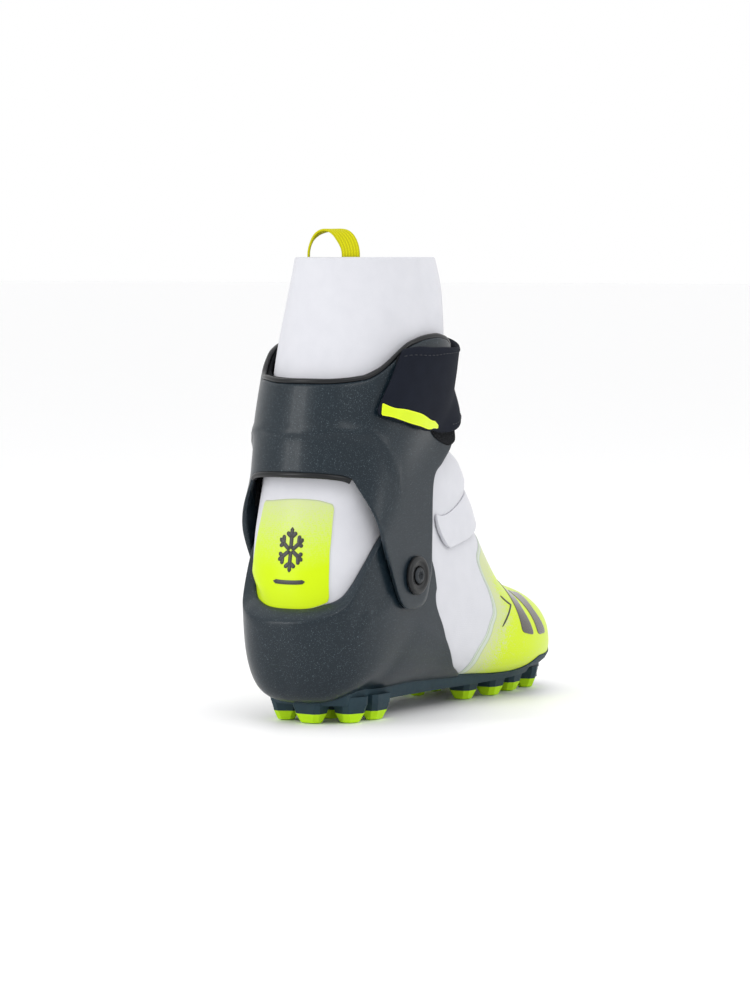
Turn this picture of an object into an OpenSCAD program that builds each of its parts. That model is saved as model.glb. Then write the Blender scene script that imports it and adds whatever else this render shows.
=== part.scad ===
// Cross country skating boot, right foot.
// X points to the inner (medial) side, the toe points to -Y, Z is up and the lugs stand on Z = 0.
//
// The soft upper is a loft of fan sections. Section s is a slanted plane through a back point and
// a front point of the boot's middle plane, and angle a runs round it: 0 is the medial side,
// 90 the front or top, 180 the lateral side and 270 the back or bottom. Every shell, pad, film
// and strap lies on that loft at some distance from it.

/* [Soft parts] */
// Thickness of the softshell
softshell_t = 2.2; // [1.6:0.1:2.4]
// Thickness of the toe film and the heel patch
film_t = 0.6; // [0.4:0.1:0.8]
// Thickness of the strap webbing
strap_t = 2.4; // [1.6:0.1:2.8]
// Width of the pull loop's tape
loop_w = 8; // [6:0.5:9]
// Height of the pull loop above the rim
loop_h = 15; // [12:1:20]
// Thickness of the lace cover
cover_t = 1.3; // [1:0.1:1.4]
// Radius of the lace
lace_r = 0.8; // [0.6:0.1:0.9]

/* [Shells] */
// Thickness of the cuff shell
cuff_t = 2.7; // [2.2:0.1:2.8]
// Thickness of the heel chassis at its sides
chassis_t = 2.3; // [1.8:0.1:2.3]
// Distance of the heel chassis from the softshell at the back of the heel
heel_bulge = 8.5; // [5:0.5:9]

/* [Pivot] */
// Distance of the pivot axis behind the origin
pivot_y = 65; // [62:0.5:68]
// Height of the pivot axis
pivot_z = 78; // [75:0.5:80]
// Radius of the pivot bush
bush_r = 5; // [4:0.1:5.5]
// Radial running clearance of the arm on its bush
run_gap = 0.06; // [0.03:0.01:0.1]
// Radius of the pivot cap
cap_r = 10.5; // [9:0.5:12]

/* [Sole] */
// Height of the coloured lug tips
tip_h = 5; // [3:0.5:6]
// Underside of the sole plate
plate_z = 9.6; // [9:0.1:9.8]
// Radius of the steel toe bar
bar_r = 1.6; // [1.4:0.1:1.7]

/* [Hidden] */

$fn = 48;
touch = 0.05;          // gap between flat pieces that lie on each other
shape_gap = 0.9;       // gap between curved pieces that lie on each other
film_gap = 0.7;        // height of the films over the softshell

// Fan sections, toe to rim: back point Y and Z, front point Y and Z, half width, middle X,
// height of the widest point as a share, and the corner exponents below and above it.
LAST = [
    [-131.5, 27, -131.5, 29, 0, 4, 0.5, 2.2, 2],
    [-130, 19, -127, 41, 15, 4, 0.48, 2.2, 2],
    [-124, 15, -116, 51, 25, 3, 0.46, 2.4, 2.1],
    [-110, 13, -100, 58, 34.5, 2, 0.44, 2.6, 2.1],
    [-90, 12, -82, 62, 42, 0, 0.4, 3, 2.1],
    [-64, 12, -60, 68, 45.5, -1, 0.37, 3.2, 2],
    [-38, 12, -43, 82, 45, -1, 0.36, 3.2, 2],
    [-8, 13, -35, 100, 42.5, -1, 0.36, 3.1, 2.1],
    [34, 13.5, -31, 117, 40, 0, 0.39, 3, 2.3],
    [86, 14.5, -26, 133, 38.8, 0, 0.45, 3, 2.3],
    [113, 20, -17, 149, 38.6, 0, 0.48, 2.8, 2.2],
    [122.5, 62, -8, 166, 38.6, 0, 0.5, 2.6, 2.2],
    [119, 100, -3, 184, 39.5, 0, 0.5, 2.4, 2.1],
    [112.5, 140, -1, 200, 41.5, -1, 0.5, 2.3, 2.1],
    [106, 180, 0, 214, 42, -2, 0.5, 2.2, 2.1],
    [98, 216, -1, 232, 40, -2, 0.5, 2.1, 2.1],
    [91, 249, 0, 249, 35.2, -1, 0.5, 2.1, 2.1]];
TOP_S = len(LAST) - 1;

// Outlines on the loft: angle, lower section, upper section, from the front round to the back
CUFF = [[150, 11.5, 13.45], [155, 11.25, 13.75], [163, 11.2, 14.04], [171, 11.15, 14.2],
    [176, 10.3, 14.28], [181, 9.6, 14.33], [185, 9.48, 14.36], [190, 9.85, 14.38],
    [195, 10.2, 14.38], [202, 10.85, 14.36], [209, 11.38, 14.27], [219, 12.05, 14.13],
    [228, 12.5, 14.06], [236, 12.77, 14.06], [252, 12.93, 14.08], [270, 12.98, 14.1]];
LINING = [[147, 11.3, 13.65], [158, 11.3, 14], [168, 12.1, 14.26], [178, 12.4, 14.38],
    [190, 12.45, 14.46], [203, 12.5, 14.43], [216, 12.52, 14.24], [232, 12.66, 14.14],
    [250, 12.82, 14.16], [270, 12.88, 14.18]];
CHASSIS = [[176, 9.6, 10.9], [181, 8.93, 11.15], [186, 8.47, 11.3], [193, 8.2, 11.38],
    [200, 7.97, 11.4], [207, 7.8, 11.35], [216, 7.6, 11.2], [231, 7.2, 11], [248, 7.1, 11.02],
    [270, 7.1, 11.04]];
FILM = [[233, 0.25, 7.17], [215, 0.25, 7.2], [197, 0.25, 7.2], [181, 0.25, 7.03], [172, 0.25, 6.93],
    [163, 0.25, 7.17], [154, 0.25, 7.75], [142, 0.25, 7.55], [128, 0.25, 7.3], [114, 0.25, 7.15],
    [90, 0.25, 7.1]];
PATCH = [[241, 11.1, 12.3], [255, 11.12, 12.4], [270, 11.12, 12.43], [286, 11.12, 12.4],
    [304, 11.1, 12.28]];
COVER = [[169, 9.6, 10.5], [164, 9.15, 10.2], [156, 8.55, 9.8], [143, 8.05, 9.25],
    [125, 7.55, 8.65], [108, 7.35, 8.35], [90, 7.3, 8.25], [64, 7.35, 8.35]];
STRAP = [[216, 13.4, 14.42], [200, 13.1, 14.38], [188, 12.75, 14.22], [177, 12.38, 14.04],
    [165, 11.95, 13.86], [148, 11.45, 13.6], [120, 10.9, 13.3], [90, 10.7, 13.2], [60, 10.9, 13.3],
    [38, 11.35, 13.6], [20, 11.8, 13.9]];

// ---- Curves -----------------------------------------------------------------------------------

// Cubic through b and c, with a and d as their neighbours
function spline(a, b, c, d, t) = b + 0.5 * t * (c - a + t * (2 * a - 5 * b + 4 * c - d
    + t * (3 * (b - c) + d - a)));

// Row x of table T, with x counting rows and falling between them
function row_at(T, x) = let(
    i = floor(x), t = x - i,
    r = function(j) T[max(0, min(len(T) - 1, j))])
    [for (m = [0:len(T[0]) - 1]) spline(r(i - 1)[m], r(i)[m], r(i + 1)[m], r(i + 2)[m], t)];

// Point of the loft at section s and angle a, moved out by off
function last(s, a, off = 0) = let(
    q = row_at(LAST, s),
    back = [q[0], q[1]], front = [q[2], q[3]],
    up = sin(a) >= 0,
    n = up ? q[8] : q[7],
    reach = (up ? 1 - q[6] : q[6]) + off / max(norm(front - back), 1),
    h = q[6] + (up ? 1 : -1) * reach * pow(abs(sin(a)), 2 / n),
    p = back + (front - back) * h)
    [q[5] + (q[4] + off) * sign(cos(a)) * pow(abs(cos(a)), 2 / n), p[0], p[1]];

function ramp(x, low, high) = let(t = max(0, min(1, (x - low) / (high - low)))) t * t * (3 - 2 * t);
function mix(a, b, t) = a + (b - a) * t;

// How far an angle lies towards the back or bottom, 0 at the sides to 1 at 270
function rear(a) = pow(max(0, -sin(a)), 1.5);

// The rows of one side and their mirror image: about the back, and about the front
function about_back(rows) = concat(rows,
    [for (i = [len(rows) - 2:-1:0]) [540 - rows[i][0], rows[i][1], rows[i][2]]]);
function about_front(rows) = concat(rows,
    [for (i = [len(rows) - 2:-1:0]) [180 - rows[i][0], rows[i][1], rows[i][2]]]);

// ---- Solids from surfaces ---------------------------------------------------------------------

function face_volume(p, f) = [for (i = [1:len(f) - 2]) 1]
    * [for (i = [1:len(f) - 2]) p[f[0]] * cross(p[f[i]], p[f[i + 1]])];
function is_inside_out(p, faces) = [for (f = faces) 1] * [for (f = faces) face_volume(p, f)] > 0;
function reversed(f) = [for (i = [len(f) - 1:-1:0]) f[i]];
function quad(a, b, c, d) = [[a, b, c], [a, c, d]];

module solid(points, faces) {
    polyhedron(points, is_inside_out(points, faces) ? [for (f = faces) reversed(f)] : faces,
        convexity = 8);
}

// Closed plate between two surfaces, each a function of u and v from 0 to 1
module plate(nu, nv, inner, outer) {
    w = nv + 1;
    m = (nu + 1) * w;
    id = function(i, j, layer) layer * m + i * w + j;
    solid(
        [for (f = [outer, inner]) for (i = [0:nu]) for (j = [0:nv]) f(i / nu, j / nv)],
        concat(
            [for (i = [0:nu - 1]) for (j = [0:nv - 1])
                each quad(id(i, j, 0), id(i + 1, j, 0), id(i + 1, j + 1, 0), id(i, j + 1, 0))],
            [for (i = [0:nu - 1]) for (j = [0:nv - 1])
                each quad(id(i, j, 1), id(i, j + 1, 1), id(i + 1, j + 1, 1), id(i + 1, j, 1))],
            [for (i = [0:nu - 1])
                each quad(id(i, 0, 0), id(i, 0, 1), id(i + 1, 0, 1), id(i + 1, 0, 0))],
            [for (i = [0:nu - 1])
                each quad(id(i, nv, 0), id(i + 1, nv, 0), id(i + 1, nv, 1), id(i, nv, 1))],
            [for (j = [0:nv - 1])
                each quad(id(0, j, 0), id(0, j + 1, 0), id(0, j + 1, 1), id(0, j, 1))],
            [for (j = [0:nv - 1])
                each quad(id(nu, j, 0), id(nu, j, 1), id(nu, j + 1, 1), id(nu, j + 1, 0))]));
}

// Closed wall of a tube; a cup is also closed across its u = 0 end
module tube(nu, nv, inner, outer, cup = false) {
    m = (nu + 1) * nv;
    id = function(i, j, layer) layer * m + i * nv + j % nv;
    solid(
        [for (f = [outer, inner]) for (i = [0:nu]) for (j = [0:nv - 1]) f(i / nu, j / nv)],
        concat(
            [for (i = [0:nu - 1]) for (j = [0:nv - 1])
                each quad(id(i, j, 0), id(i + 1, j, 0), id(i + 1, j + 1, 0), id(i, j + 1, 0))],
            [for (i = [0:nu - 1]) for (j = [0:nv - 1])
                each quad(id(i, j, 1), id(i, j + 1, 1), id(i + 1, j + 1, 1), id(i + 1, j, 1))],
            [for (j = [0:nv - 1])
                each quad(id(nu, j, 0), id(nu, j, 1), id(nu, j + 1, 1), id(nu, j + 1, 0))],
            cup ? [[for (j = [0:nv - 1]) id(0, j, 0)], [for (j = [nv - 1:-1:0]) id(0, j, 1)]]
                : [for (j = [0:nv - 1])
                    each quad(id(0, j, 0), id(0, j + 1, 0), id(0, j + 1, 1), id(0, j, 1))]));
}

// Plate on the loft inside an outline, between two offsets that are functions of s and a
module band(rows, nu, per_row, inner_off, outer_off, flatten = function(p, s, layer) p) {
    at = function(u, v, off, layer) let(
        r = row_at(rows, v * (len(rows) - 1)),
        s = mix(r[1], r[2], u))
        flatten(last(s, r[0], off(s, r[0])), s, layer);
    plate(nu, per_row * (len(rows) - 1),
        function(u, v) at(u, v, inner_off, 0), function(u, v) at(u, v, outer_off, 1));
}

function level(value) = function(s, a) value;

// ---- Frames -----------------------------------------------------------------------------------

// Places children on the medial and the lateral side, with their +Z pointing outwards along X
module each_side() {
    for (m = [0, 1]) mirror([m, 0, 0]) rotate([0, 90, 0]) children();
}

module at_pivot() {
    translate([0, pivot_y, pivot_z]) each_side() children();
}

// The instep line near the laces: a straight frame with +Z up the instep and -Y out of the boot
INSTEP_S = 7.4;
INSTEP_AT = last(INSTEP_S, 90);
INSTEP_DIR = let(d = last(8, 90) - last(7, 90)) d / norm(d);
instep_lean = atan2(INSTEP_DIR[1], INSTEP_DIR[2]);
module on_instep() {
    translate([0, INSTEP_AT[1], INSTEP_AT[2]]) rotate([-instep_lean, 0, 0]) children();
}

// ---- Sole -------------------------------------------------------------------------------------

plate_top = 11.8;
SOLE_A = 236;
bar_y = -117;
bar_z = 7.4;
carrier = [34, 15];

// Plan outline of the sole plate, drawn in by inset
module sole_outline(inset = 0) {
    side = function(a) [for (s = [0.9:0.35:9.95]) let(p = last(s, a, -inset)) [p[0], p[1]]];
    heel = [for (a = [SOLE_A + 4:5:536 - SOLE_A]) let(p = last(9.95, a, -inset)) [p[0], p[1]]];
    polygon(concat(side(SOLE_A), heel, reversed(side(540 - SOLE_A))));
}

// Lugs: X, Y, width, length and turn of each
HEEL_LUGS = [[-23.5, 74, 10, 14, 0], [-20, 93, 12, 13, -26], [-3, 105, 15, 11, -4],
    [17, 98, 12, 12, 26], [24.5, 76, 10, 14, 0], [24, 56, 9, 13, 0], [0, 64, 13, 9, 0],
    [0, 83, 14, 9, 0]];
FORE_LUGS = [[-18, -33, 12, 12, 0], [-21, -58, 12, 13, 0], [-18.5, -83, 12, 13, 6],
    [-18.5, -105, 11, 12, 24], [12.5, -34, 9, 12, 0], [26, -33, 9, 13, 0], [25.5, -58, 11, 13, 0],
    [24.5, -83, 11, 13, -6], [24.5, -105, 11, 12, -24], [13.5, -57, 6, 11, 0], [13, -80, 6, 10, 0]];

// Row of lugs between two heights; the foot of each lug is wider by flare
module lugs(list, low, high, flare) {
    for (q = list) translate([q[0], q[1], low]) rotate(q[4]) linear_extrude(high - low) {
        w = q[2] / 2 + flare;
        l = q[3] / 2 + flare;
        cut = 2.5;
        polygon([[-w, cut - l], [cut - w, -l], [w - cut, -l], [w, cut - l],
            [w, l - cut], [w - cut, l], [cut - w, l], [-w, l - cut]]);
    }
}

module outsole() color("#1f3a44") {
    difference() {
        translate([0, 0, plate_z]) linear_extrude(plate_top - plate_z) sole_outline();
        translate([-carrier[0] / 2, bar_y - carrier[1] / 2, plate_z - 1])
            cube([carrier[0], carrier[1], 4]);
        // lower under the heel of the chassis
        translate([-50, 96, plate_top - 0.7]) cube([100, 40, 2]);
    }
    lugs(HEEL_LUGS, tip_h, plate_z, 0);
    lugs(FORE_LUGS, tip_h, plate_z, 0);
    // ridges that locate the binding, either side of the middle
    for (m = [-1, 1]) translate([m * 8 - 1.5, -98, plate_z - 3]) cube([3, 84, 3]);
}

module heel_lug_tips() color("#c3e61e") lugs(HEEL_LUGS, 0, tip_h, 0.6);

module forefoot_lug_tips() color("#c3e61e") lugs(FORE_LUGS, 0, tip_h, 0.6);

// Nylon insert that holds the toe bar between two blocks
module bar_carrier() color("#14262d") difference() {
    union() {
        translate([-carrier[0] / 2, bar_y - carrier[1] / 2, plate_z])
            cube([carrier[0], carrier[1], plate_top - plate_z]);
        for (m = [-1, 1]) translate([m * 14.5 - 2.5, bar_y - 5, 4]) cube([5, 10, plate_z - 4]);
    }
    translate([-20, bar_y, bar_z]) rotate([0, 90, 0]) cylinder(r = bar_r, h = 40);
}

module toe_bar() color("#b9bec2")
    translate([-17, bar_y, bar_z]) rotate([0, 90, 0]) cylinder(r = bar_r, h = 34);

// ---- Inside the foot part ---------------------------------------------------------------------

FOOT_FLOOR = [[238, 0.9, 9.7], [254, 0.7, 9.9], [270, 0.7, 9.95], [286, 0.7, 9.9], [302, 0.9, 9.7]];
board_t = 1.3;
footbed_t = 3.2;

module sole_board() color("#3a3f42") {
    top = -softshell_t - shape_gap;
    band(FOOT_FLOOR, 16, 2, level(top - board_t), level(top));
}

module footbed() color("#9aa0a3") {
    top = -softshell_t - shape_gap - board_t - touch;
    band(FOOT_FLOOR, 16, 2, level(top - footbed_t), level(top));
}

module heel_padding() color("#2b2e33") {
    rows = about_back([[208, 10.6, 11.9], [228, 10.5, 12.2], [250, 10.45, 12.25], [270, 10.4, 12.25]]);
    band(rows, 4, 3, level(-softshell_t - 3.9), level(-softshell_t - shape_gap));
}

// ---- Soft upper -------------------------------------------------------------------------------

// Section where the foot part of the upper ends, and where the gaiter begins, round the angle
function upper_end(a) = let(q = sin(a)) q > 0 ? mix(11.1, 9.6, q) : mix(11.1, 12.5, pow(-q, 0.7));
function gaiter_start(a) = let(q = sin(a)) q > 0 ? mix(12.5, 12.2, q) : mix(12.5, 12.95, -q);
gusset_gap = 0.04;

module upper() color("#e4e4e8") difference() {
    tube(30, 32,
        function(u, v) last(mix(0.45, upper_end(360 * v), u), 360 * v, -softshell_t),
        function(u, v) last(mix(0.2, upper_end(360 * v), u), 360 * v), cup = true);
    // way in to the lace lock, under the lace cover
    on_instep() translate([-hatch[0] / 2, -6, 0]) cube([hatch[0], 10, hatch[1]]);
    at_pivot() translate([0, 0, 30]) cylinder(r = 4.9, h = 12);
}

// Elastic zone that folds as the cuff moves
module ankle_gusset() color("#dcdce1")
    tube(4, 32,
        function(u, v) let(a = 360 * v)
            last(mix(upper_end(a) + gusset_gap, gaiter_start(a) - gusset_gap, u), a, -softshell_t),
        function(u, v) let(a = 360 * v)
            last(mix(upper_end(a) + gusset_gap, gaiter_start(a) - gusset_gap, u), a));

BINDING_S = 15.93;
module gaiter() color("#e4e4e8")
    tube(8, 32,
        function(u, v) last(mix(gaiter_start(360 * v), BINDING_S, u), 360 * v, -softshell_t),
        function(u, v) last(mix(gaiter_start(360 * v), BINDING_S, u), 360 * v));

module rim_binding() color("#f1f1f3")
    tube(1, 40,
        function(u, v) last(mix(BINDING_S, TOP_S, u), 360 * v, -softshell_t - 0.4),
        function(u, v) last(mix(BINDING_S, TOP_S, u), 360 * v, 0.3));

module toe_film() color("#d7f000")
    band(about_front(FILM), 20, 2, level(film_gap), level(film_gap + film_t));

module heel_patch() color("#d7f000")
    band(PATCH, 5, 2, level(film_gap), level(film_gap + film_t));

// ---- Lacing -----------------------------------------------------------------------------------

hatch = [20, 12];
lace_y = 4.3;          // depth of the lace under the instep line
guide_x = 8.2;
guide_r = 1.5;
GUIDE_Z = [-17, -12, -7, -2];
tail_x = 2.5;

module tongue() color("#c9c9ce") {
    under_lace = 11.6;
    band([[58, 5.6, 9.2], [74, 5.5, 9.35], [90, 5.5, 9.4], [106, 5.5, 9.35], [122, 5.6, 9.2]], 8, 2,
        level(-under_lace - 2.4), level(-under_lace));
}

// Strips on both sides of the lacing that hold the guides, just inside the softshell
module eyestays() color("#24282e")
    on_instep() for (m = [-1, 1])
        translate([m * (guide_x + guide_r + touch + 1.4) - 1.4, lace_y - 0.6, GUIDE_Z[0] - 3])
            cube([2.8, 1.2, GUIDE_Z[3] - GUIDE_Z[0] + 6]);

// Short tubes that the lace runs through
module lace_guides() color("#24282e")
    on_instep() for (m = [-1, 1]) for (z = GUIDE_Z) translate([m * guide_x, lace_y, z - 1.8])
        difference() {
            cylinder(r = guide_r, h = 3.6);
            translate([0, 0, -1]) cylinder(r = 0.95, h = 6);
        }

// Straight piece of lace between two points, with a round knuckle at each end
module cord_run(p, q) {
    d = q - p;
    for (end = [p, q]) translate(end) sphere(r = lace_r * 1.08);
    translate(p) rotate([0, acos(d[2] / norm(d)), atan2(d[1], d[0])])
        cylinder(r = lace_r, h = norm(d));
}

module laces() color("#17191c")
    on_instep() translate([0, lace_y, 0]) {
        for (i = [0:len(GUIDE_Z) - 2])
            cord_run([guide_x * (i % 2 ? 1 : -1), 0, GUIDE_Z[i]],
                [guide_x * (i % 2 ? -1 : 1), 0, GUIDE_Z[i + 1]]);
        for (m = [-1, 1]) {
            translate([m * tail_x, 0, 0.5]) cylinder(r = lace_r, h = 20);
            cord_run([m * guide_x, 0, GUIDE_Z[3]], [m * tail_x, 0, 0.5]);
        }
    }

// Toggle that clamps both ends of the lace and slides along them
module lace_lock() color("#101214")
    on_instep() translate([0, lace_y, 0]) difference() {
        translate([-6, -1.3, 2.5]) cube([12, 2.6, 8]);
        for (m = [-1, 1]) translate([m * tail_x, 0, 0]) cylinder(r = lace_r + run_gap, h = 12);
    }

// Flap over the way in to the lacing
module lace_cover() color("#e9e9ed")
    band(COVER, 6, 3, level(1.3), level(1.3 + cover_t));

// ---- Heel chassis and pivots ------------------------------------------------------------------

chassis_x = 41.4;                       // outer face of the chassis at the pivot
arm_x = chassis_x + 0.5;                // inner face of the arm
cap_x = arm_x + cuff_t + 0.25;          // inner face of the cap
chassis_off = 0.8;

module heel_chassis() color("#3a444c") difference() {
    band(about_back(CHASSIS), 10, 2, level(chassis_off),
        function(s, a) chassis_off + chassis_t + heel_bulge * rear(a) * ramp(s, 9, 10.6)
            - 2.1 * rear(a) * ramp(-s, -9, -8),
        function(p, s, layer) [sign(p[0]) * min(abs(p[0]), layer ? chassis_x : 100), p[1], p[2]]);
    at_pivot() translate([0, 0, 36]) cylinder(r = bush_r, h = 8);
}

module pivot_nuts() color("#8f9599")
    at_pivot() difference() {
        union() {
            translate([0, 0, 34]) cylinder(r = 7, h = 1.2);
            translate([0, 0, 34]) cylinder(r = 4.8, h = 5);
        }
        translate([0, 0, 30]) cylinder(r = 2.5, h = 12);
    }

module pivot_bushes() color("#c9b98a")
    at_pivot() translate([0, 0, 39.05]) difference() {
        cylinder(r = bush_r, h = cap_x - 39.05);
        translate([0, 0, -1]) cylinder(r = 2.6, h = 12);
    }

module pivot_caps() color("#22262b")
    at_pivot() translate([0, 0, cap_x]) difference() {
        union() {
            cylinder(r = cap_r, h = 1.2);
            translate([0, 0, 1.2]) cylinder(r1 = cap_r, r2 = cap_r - 2.2, h = 1.4);
        }
        translate([0, 0, 0.9]) cylinder(r = 4.8, h = 3);
        translate([0, 0, -1]) cylinder(r = 2.6, h = 5);
    }

module pivot_screws() color("#6f757a")
    at_pivot() difference() {
        union() {
            translate([0, 0, cap_x + 0.95]) cylinder(r = 4.5, h = 1.9);
            translate([0, 0, 35.4]) cylinder(r = 2.45, h = cap_x + 1 - 35.4);
        }
        translate([0, 0, cap_x + 1.6]) cylinder(r = 2.3, h = 3, $fn = 6);
    }

// ---- Cuff -------------------------------------------------------------------------------------

// Distance of the cuff's outer face from the loft
function cuff_off(s, a) = mix(mix(5.6, 5.4, ramp(s, 10, 13)), 10.5 - 2.4 * ramp(s, 13.2, 14.2), rear(a));

// Keeps the arms flat beside the chassis, so that they turn past it
function arm_clamp(p, s, x) = let(k = 1 - ramp(s, 11.5, 12.7))
    [sign(p[0]) * mix(abs(p[0]), x, k), p[1], p[2]];

module cuff_shell() color("#3a444c") difference() {
    band(about_back(CUFF), 9, 2,
        function(s, a) cuff_off(s, a) - cuff_t, function(s, a) cuff_off(s, a),
        function(p, s, layer) arm_clamp(p, s, arm_x + layer * cuff_t));
    at_pivot() translate([0, 0, 38]) cylinder(r = bush_r + run_gap, h = 10);
}

module cuff_lining() color("#1c1f24")
    band(about_back(LINING), 6, 2, level(1.2),
        function(s, a) cuff_off(s, a) - cuff_t - 0.1 - 0.5 * (1 - rear(a)));

// Mesh pads behind the arms, above the ears of the chassis
module arm_pads() color("#15171a")
    for (m = [0, 1])
        band([for (r = [[178, 11.7, 12.1], [188, 11.8, 12.15], [199, 11.9, 12.2]])
                [m ? 540 - r[0] : r[0], r[1], r[2]]], 4, 3, level(1), level(1.2),
            function(p, s, layer) [sign(p[0]) * (layer ? arm_x - 0.3 : 40.2), p[1], p[2]]);

// ---- Strap ------------------------------------------------------------------------------------

strap_gap = 1.7;       // room under the strap for the hook and loop pads
arm_room = 5.2;        // more room where the strap passes the top of the arms

// Distance of the strap's inner face from the loft
function strap_off(s, a) = cuff_off(s, a) + strap_gap
    + arm_room * pow(cos(a), 2) * (1 - ramp(s, 11.7, 12.8));

module strap() color("#262c36")
    band(STRAP, 6, 3, function(s, a) strap_off(s, a), function(s, a) strap_off(s, a) + strap_t);

module strap_edge() color("#dff000")
    band([for (r = [for (i = [0:3]) STRAP[i]]) [r[0] - 0.5, r[1] + 0.05, r[1] + 0.45]], 2, 3,
        function(s, a) strap_off(s, a) + strap_t + 0.3, function(s, a) strap_off(s, a) + strap_t + 0.7);

// Hook pad on the shell and loop pad on the strap, facing each other
module hook_pad() color("#121418")
    band([[212, 13.1, 14.05], [196, 12.9, 14.1], [180, 12.6, 13.95], [168, 12.3, 13.8]], 4, 3,
        function(s, a) cuff_off(s, a) + 0.2, function(s, a) cuff_off(s, a) + 0.6);

module loop_pad() color("#1b1e23")
    band([[212, 13.5, 14.25], [198, 13.2, 14.25], [182, 12.7, 14], [168, 12.2, 13.8]], 4, 3,
        function(s, a) strap_off(s, a) - 0.75, function(s, a) strap_off(s, a) - 0.3);

// Fixed end of the strap, riveted to the medial side of the shell
tab_top = 3.2;
module strap_tab() color("#262c36")
    band([[14, 12, 13.95], [3, 12.3, 14.1], [-8, 12.7, 14.05]], 4, 2,
        function(s, a) cuff_off(s, a) + 0.4, function(s, a) cuff_off(s, a) + tab_top);

module strap_rivets() color("#8f9599")
    for (s = [12.9, 13.7]) let(p = last(s, 1, cuff_off(s, 1) + tab_top))
        translate(p + [-0.6, 0, 0]) rotate([0, 90, 0]) cylinder(r = 3.6, h = 1.5);

// ---- Pull loop --------------------------------------------------------------------------------

module pull_loop() color("#d7cd0a") {
    rim_z = LAST[TOP_S][3];
    span_r = 13.5;
    tape_t = 1.4;
    drop = 11;
    rise = loop_h - span_r;
    translate([LAST[TOP_S][5], 80, rim_z + rise]) rotate([90, 0, 180]) {
        linear_extrude(loop_w) {
            difference() {
                circle(r = span_r);
                circle(r = span_r - tape_t);
                translate([-20, -40]) square([40, 40]);
            }
            for (m = [-1, 1]) translate([m * (span_r - tape_t / 2) - tape_t / 2, -drop - rise])
                square([tape_t, drop + rise]);
        }
    }
}

outsole();
heel_lug_tips();
forefoot_lug_tips();
bar_carrier();
toe_bar();
sole_board();
footbed();
heel_chassis();
upper();
ankle_gusset();
heel_padding();
toe_film();
heel_patch();
tongue();
eyestays();
lace_guides();
laces();
lace_lock();
lace_cover();
pivot_nuts();
pivot_bushes();
pivot_caps();
pivot_screws();
cuff_shell();
cuff_lining();
arm_pads();
gaiter();
rim_binding();
pull_loop();
strap_tab();
strap_rivets();
hook_pad();
strap();
strap_edge();
loop_pad();
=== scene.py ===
"""Looks of a cross country skating boot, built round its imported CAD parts.

Lengths in the tables are millimetres, as in part.scad, and every mesh is in metres in the same frame:
X points to the inner (medial) side, the toe points to -Y and Z is up. Every soft and moulded piece lies on
the same loft of slanted fan sections as in part.scad: section s runs from the toe (0) to the rim (16), and
angle a runs round it, with 0 on the medial side, 90 at the front or top, 180 on the lateral side and 270 at
the back or bottom.
"""

import math

import bmesh
import bpy
import numpy as np
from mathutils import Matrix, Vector


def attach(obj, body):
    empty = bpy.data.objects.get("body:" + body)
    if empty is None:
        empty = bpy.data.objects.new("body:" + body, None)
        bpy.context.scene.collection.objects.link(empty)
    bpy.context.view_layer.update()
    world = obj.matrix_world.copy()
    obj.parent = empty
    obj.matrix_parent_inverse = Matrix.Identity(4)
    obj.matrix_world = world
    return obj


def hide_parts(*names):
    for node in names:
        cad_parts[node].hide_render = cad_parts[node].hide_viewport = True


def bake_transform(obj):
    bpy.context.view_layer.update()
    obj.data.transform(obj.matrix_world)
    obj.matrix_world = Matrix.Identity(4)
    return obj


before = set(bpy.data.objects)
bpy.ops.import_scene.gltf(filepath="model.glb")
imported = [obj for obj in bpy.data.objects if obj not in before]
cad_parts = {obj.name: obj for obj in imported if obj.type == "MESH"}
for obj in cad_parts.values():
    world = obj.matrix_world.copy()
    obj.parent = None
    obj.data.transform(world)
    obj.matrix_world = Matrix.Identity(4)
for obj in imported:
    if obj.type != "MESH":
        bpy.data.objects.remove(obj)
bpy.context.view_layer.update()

MM = 0.001

# ---- Loft ----

# Each section: back point Y and Z, front point Y and Z, half width, middle X, share of the way to the front
# where it is widest, exponents of the outline below and above that
LAST = [
    [-131.5, 27, -131.5, 29, 0, 4, 0.5, 2.2, 2],
    [-130, 19, -127, 41, 15, 4, 0.48, 2.2, 2],
    [-124, 15, -116, 51, 25, 3, 0.46, 2.4, 2.1],
    [-110, 13, -100, 58, 34.5, 2, 0.44, 2.6, 2.1],
    [-90, 12, -82, 62, 42, 0, 0.4, 3, 2.1],
    [-64, 12, -60, 68, 45.5, -1, 0.37, 3.2, 2],
    [-38, 12, -43, 82, 45, -1, 0.36, 3.2, 2],
    [-8, 13, -35, 100, 42.5, -1, 0.36, 3.1, 2.1],
    [34, 13.5, -31, 117, 40, 0, 0.39, 3, 2.3],
    [86, 14.5, -26, 133, 38.8, 0, 0.45, 3, 2.3],
    [113, 20, -17, 149, 38.6, 0, 0.48, 2.8, 2.2],
    [122.5, 62, -8, 166, 38.6, 0, 0.5, 2.6, 2.2],
    [119, 100, -3, 184, 39.5, 0, 0.5, 2.4, 2.1],
    [112.5, 140, -1, 200, 41.5, -1, 0.5, 2.3, 2.1],
    [106, 180, 0, 214, 42, -2, 0.5, 2.2, 2.1],
    [98, 216, -1, 232, 39.4, -1.4, 0.5, 2.1, 2.1],
    [91, 249, 0, 249, 34, 0, 0.5, 2.1, 2.1],
]
TOP_S = len(LAST) - 1

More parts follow.
